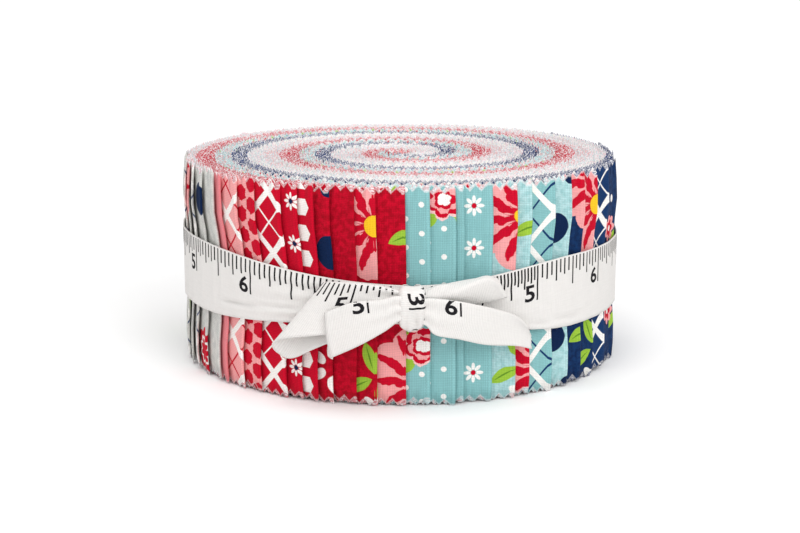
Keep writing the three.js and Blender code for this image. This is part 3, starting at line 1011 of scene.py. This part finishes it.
def aqua_roses(cloth):
    aqua_dots(cloth)
    x, y = cells(cloth.u, cloth.v, 26, 41)
    for turn in (0.9, 2.6, 4.1, 5.4):
        a, b = turned(x, y, turn)
        cloth.stamp(leaf(a - 6.8, b, 7, 3.6), LIME)
    wobble = cloth.noise(1.2, 9) * 1.4 - 0.7
    rings = [(6, 7, PALE_PINK), (5.2, 6, RED), (4, 5, PINK), (2.9, 5, RED), (1.9, 4, WHITE)]
    for radius, count, shade in rings:
        cloth.stamp(flower(x, y, radius, count, 0.78, radius) + wobble, shade)
    cloth.stamp(petals(x + 1, y - 8, 0.4, 2.6, 1.5, 6), WHITE)
    cloth.stamp(disc(x + 1, y - 8, 0.7), YELLOW)


def aqua_daisies(cloth):
    daisies(cloth, RED, 2.95)


def pale_blooms(cloth):
    mottled(cloth, AQUA, 0.6)
    blooms(cloth)


def aqua_lattice(cloth):
    trellised(cloth, NAVY, 0.6)


def pale_spots(cloth):
    mottled(cloth, AQUA, 0.6)
    x, y = cells(cloth.u, cloth.v, 14, 16.4)
    cloth.stamp(disc(x, y, 4.5), DEEP_NAVY)


def navy_lattice(cloth):
    trellised(cloth, WHITE, 0.5)


def navy_blooms(cloth):
    mottled(cloth, DEEP_NAVY)
    blooms(cloth)


def navy_flowers(cloth):
    mottled(cloth, DEEP_NAVY)
    x, y = cells(cloth.u, cloth.v, 16, 26.5, 0)
    cloth.stamp(leaf(*turned(x - 3.4, y + 3.4, 0.9), 6.4, 2.8), LIME)
    cloth.stamp(flower(x, y, 4.2, 7, 0.7), PINK)
    cloth.stamp(flower(x, y, 2.8, 5, 0.6), RED)
    cloth.stamp(disc(x, y, 0.9), WHITE)
    cloth.stamp(disc(x, y - 9.3, 1.2), WHITE)


def navy_mottled(cloth):
    mottled(cloth, DEEP_NAVY)


def cream_sprigs(cloth):
    x, y = cells(cloth.u, cloth.v, 8, 7)
    cloth.stamp(flower(x, y, 1.5, 5, 0.6), RED)
    cloth.stamp(leaf(*turned(x - 2, y + 1, 0.6), 3, 1.2), LIME)


def cream_dots(cloth):
    x, y = cells(cloth.u, cloth.v, 5, 4.4)
    cloth.stamp(disc(x, y, 0.7), PINK)


def cut_edge(name, ground, fleck, paleness):
    """A cloth's cut edges, or with more paleness its wrong side: its colours under pale loose fibres."""
    cloth = Cloth(name, ground)
    cloth.paint(inside(0.5 - cloth.noise((1.4, 3), 4), 0.06) * 0.7, fleck)
    speckle = inside(0.53 - cloth.noise((0.7, 0.4), 1, 3), 0.06)
    cloth.paint(speckle * (0.9 - paleness) + paleness, FIBRE)
    return cloth.finish(cloth.noise(0.2, 8), relief=0.1, roughness=0.95, sheen=0.03)


# Ground colours: on the face, on the cut edges, and the colour that the print leaves there
GROUNDS = {
    "grey": (GREY, colour(212, 214, 220), PINK),
    "pink": (PINK, DEEP_PINK, RED),
    "red": (RED, colour(206, 30, 60), RED),
    "aqua": (AQUA, PALE_AQUA, DEEP_PINK),
    "pale": (PALE_AQUA, PALE_AQUA, PINK),
    "navy": (NAVY, colour(26, 60, 126), DEEP_NAVY),
    "cream": (CREAM, colour(236, 206, 212), PALE_AQUA),
}
WRONG_SIDE_PALENESS = 0.3
EDGES = {
    name: (
        cut_edge(f"{name}_cut_edge", edge, fleck, 0),
        cut_edge(f"{name}_wrong_side", edge, fleck, WRONG_SIDE_PALENESS),
    )
    for name, (_, edge, fleck) in GROUNDS.items()
}


def cotton(paint):
    ground = paint.__name__.split("_")[0]
    cloth = Cloth(f"cotton_{paint.__name__}", GROUNDS[ground][0])
    paint(cloth)
    return finish_cotton(cloth), *EDGES[ground]


# The strips in order round the front, from its left side: print, and the print's shift along and up the strip
FRONT_PRINTS = [
    (grey_blooms, 12, -58), (grey_lines, 3, -14.6), (grey_spots, 3, -54), (grey_plain, 3, 8),
    (pink_plain, 0, 0), (pink_lattice, 6, -15.6), (pink_hexes, 5.9, -9), (red_lattice, 4.6, -6.7),
    (red_daisies, 1.8, -9.1), (red_hexes, 3.8, -4.3), (red_spots, 0, -44.5), (red_mottled, 0, 0),
    (red_blooms, 0, -52.5), (red_blooms, -5, -8), (aqua_roses, 2, -17), (aqua_roses, 3, -60),
    (aqua_dots, 3, 3), (aqua_daisies, 5.1, -8.6), (pale_blooms, -2, -54), (pale_blooms, -4, -8),
    (aqua_lattice, 0, -18), (pale_spots, 5.4, -15.4), (navy_blooms, -5, -61), (navy_blooms, 0, -53.2),
    (navy_lattice, 4.6, -13), (navy_flowers, 5, -16),
]
BACK_PRINTS = [
    navy_mottled, navy_flowers, navy_lattice, navy_mottled,
    *[cream_sprigs, cream_dots] * 4,
    grey_plain, grey_blooms, grey_plain, grey_lines,
]
BACK_SHIFT = (5, 3)  # of the print from one strip to the next


def make_strips():
    along_step, up_step = BACK_SHIFT
    prints = FRONT_PRINTS + [(paint, along_step * n, up_step * n) for n, paint in enumerate(BACK_PRINTS)]
    made = {paint: cotton(paint) for paint in dict.fromkeys(paint for paint, _, _ in prints)}
    return [make_strip(order, made[paint], (along, up)) for order, (paint, along, up) in enumerate(prints)]


def tape_material():
    cloth = Cloth("tape_cotton", TAPE_WHITE)
    ribs = abs(sine(cloth.u * (math.pi / RIB)))
    fine = cloth.noise((0.3, 3), 2) + cloth.noise((5, 0.4), 6)
    # The ribs' height darkens the grooves between them, which is painted shade; the fine noise is the tape's
    # own uneven tone.
    cloth.tone(ribs * 0.11 + fine * 0.09 + 0.84)
    return cloth.finish(ribs + fine * 0.5, relief=0.07, roughness=0.9, sheen=0.05)


def ink_material():
    cloth = Cloth("printed_ink", INK_BLACK)
    grain = cloth.noise(0.3, 2, 3)
    cloth.tone(grain * 0.6 + 0.7)
    return cloth.finish(grain, relief=0.02, roughness=0.7, sheen=0)


# Making the pieces

TAPE = tape_material()
PRINTED = ink_material()
strips = make_strips()


def dress(name, tape, marks, node, ragged=0):
    """Makes a stretch of the tape with its printed marks, and hides the model's part that it stands in for."""
    piece = tape.build(name, TAPE, ragged)
    with_marks = []
    if marks:
        ink = Ink(tape)
        marks(ink)
        with_marks = [ink.build(f"{name}_marks", PRINTED)]
    for each in (piece, *with_marks):
        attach(each, "root")
    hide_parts(node)
    flat = (TAPE_WIDTH * MM, tape.along[-1] * MM)


for strip in strips:
    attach(strip, "root")
    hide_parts("roll")


MARKED_ANGLES = (35, 165, 170.5, 321.1)  # of the right 5, the rulers' end and start, and the left 6
MARKS_GATHERED = 0.62
KNOT_HIDES = 4


def ruled(**places):
    """Marks from one call of the ruler."""
    return lambda ink: ink.ruler(**places)


def band_marks(ink):
    """The printed ruler starts again at the back."""
    right_unit, last, first, left_unit = np.interp(MARKED_ANGLES, BAND_ANGLES, ink.tape.along)
    ink.ruler(right_unit, 5, KNOT_HIDES, last, MARKS_GATHERED)
    ink.ruler(left_unit, 6, first, ink.tape.along[-1] - KNOT_HIDES)


dress("tape_band", band_tape(), band_marks, "tie_band")

loop_left = tape_through(LOOP_LEFT, False).raised(gathers(reach=14, deep=0.4, waves=3, turn=0.5))
loop_left = turned_under(loop_left, ramp(loop_left, start=6, end=28, near=2.9, far=0))
dress("tape_loop_left", loop_left, ruled(unit_at=16, number=5, start=3, end=50), "loop_left")

tail_left = tape_through(TAIL_LEFT, False).raised(gathers(reach=9, deep=0.5, waves=2.5, turn=0.2))
tail_left = turned_under(tail_left, upper=6.9)
tail_left_marks = ruled(unit_at=11.5, number=5, start=2, end=40)
dress("tape_tail_left", tail_left, tail_left_marks, "tail_left", ragged=0.12)

tail_right = tape_through(TAIL_RIGHT, True).raised(gathers(reach=9, deep=0.35, waves=2, turn=0.8))
tail_right = turned_under(tail_right, upper=6.1)
tail_right_marks = ruled(unit_at=13, number=6, start=2, end=22)
dress("tape_tail_right", tail_right, tail_right_marks, "tail_right", ragged=0.3)

loop_right = turned_under(tape_through(LOOP_RIGHT, True), upper=6.5, lower=6.5)
dress("tape_loop_right", loop_right, None, "loop_right")

dress("tape_knot", knot_tape(), ruled(unit_at=7.4, number=3, start=1, end=16), "tie_knot")


# The floor, lights and camera

FLOOR_REACH = 8  # metres


def make_floor():
    data = bpy.data.meshes.new("floor")
    corners = [(x * FLOOR_REACH, y * FLOOR_REACH, 0) for x, y in ((-1, -1), (1, -1), (1, 1), (-1, 1))]
    data.from_pydata(corners, [], [(0, 1, 2, 3)])
    material = bpy.data.materials.new("floor")
    material.use_nodes = True
    looks = {"Base Color": (0.97, 0.97, 0.97, 1), "Roughness": 0.9, "Specular IOR Level": 0.1}
    feed(material.node_tree.nodes["Principled BSDF"], looks)
    data.materials.append(material)
    new_object("floor", data)


def make_light(name, bearing, elevation, breadth, strength):
    """A large soft light far away. bearing is from the front, positive to the right."""
    data = bpy.data.lights.new(name, "SUN")
    data.angle, data.energy = math.radians(breadth), strength
    turn, rise = math.radians(bearing), math.radians(elevation)
    towards = Vector((math.sin(turn) * math.cos(rise), -math.cos(turn) * math.cos(rise), math.sin(rise)))
    new_object(name, data).rotation_euler = towards.to_track_quat("Z", "Y").to_euler()


def make_camera():
    data = bpy.data.cameras.new("camera")
    data.sensor_width = SENSOR
    data.lens = FOCAL_PIXELS * SENSOR / FRAME_WIDTH
    camera = new_object("camera", data)
    elevation = math.radians(CAMERA_ELEVATION)
    aim = Vector((0, 0, CAMERA_AIM)) * MM
    away = Vector((0, -math.cos(elevation), math.sin(elevation))) * CAMERA_DISTANCE * MM
    camera.location = aim + away
    camera.rotation_euler = (-away).to_track_quat("-Z", "Y").to_euler()
    bpy.context.scene.camera = camera


scene = bpy.context.scene
scene.view_settings.view_transform = "Standard"
scene.world = bpy.data.worlds.new("studio")
scene.world.use_nodes = True
feed(scene.world.node_tree.nodes["Background"], {"Color": (1, 1, 1, 1), "Strength": 0.47})
make_floor()
make_light("key", bearing=38, elevation=34, breadth=36, strength=0.9)
make_light("left", bearing=-34, elevation=25, breadth=50, strength=0.45)
make_light("top", bearing=10, elevation=80, breadth=60, strength=1.45)
make_camera()
